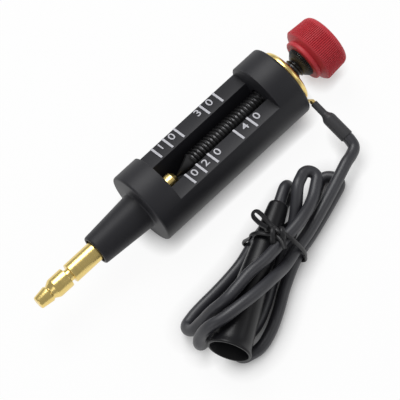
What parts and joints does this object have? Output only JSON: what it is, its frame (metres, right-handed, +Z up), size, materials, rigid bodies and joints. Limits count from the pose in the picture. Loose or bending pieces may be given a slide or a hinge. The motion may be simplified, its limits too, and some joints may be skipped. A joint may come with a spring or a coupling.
{
  "type": "spark plug tester",
  "caption": "Adjustable spark plug tester: a black windowed body with a brass push-on tip, a screw with a red knob that sets the spark gap, and a hanked earth lead with a plug boot.",
  "frame": {"origin": "on the surface the tester lies on, under the middle of its rigid pieces, leaving out the lead and its boot", "axes": "+X along the body's axis towards the red knob, +Y away from the lead, +Z up; the window leans 20 degrees from +Z towards +Y, as the tester lies in the picture"},
  "size_m": [0.1178, 0.068, 0.024],
  "materials": {
    "black_plastic": "satin",
    "brass": "polished",
    "white_print": "matte",
    "black_steel": "black oxide",
    "red_plastic": "satin gloss",
    "copper": "bare copper strands",
    "black_rubber": "satin",
    "tie_plastic": "satin",
    "spring_steel": "plain"
  },
  "bodies": {
    "tester": {"housing": "black_plastic", "terminal_pin": "brass", "scale_marks": "white_print", "threaded_bush": "brass", "earth_lug": "brass", "lead_conductor": "copper", "shrink_sleeve": "black_rubber", "lead_cable": "black_rubber", "lead_hank": "black_rubber", "hank_tie": "tie_plastic", "plug_boot": "black_rubber", "boot_terminal": "spring_steel", "terminal_spring": "spring_steel", "boot_conductor": "copper"},
    "feed": {"knob_end_cap": "red_plastic"},
    "screw": {"adjusting_screw": "black_steel", "red_knob": "red_plastic"}
  },
  "joints": [
    {"name": "screw_feed", "type": "slide", "parent": "tester", "child": "feed", "axis": [1, 0, 0], "range_m": [0, 0.02541]},
    {"name": "knob_turn", "type": "hinge", "parent": "feed", "child": "screw", "pos_m": [0.05, 0.00234, 0.012], "axis": [1, 0, 0], "range_deg": [0, 7200]}
  ],
  "couplings": [
    {"joint": "screw_feed", "follows": "knob_turn", "m_per_rad": 0.00020213}
  ]
}
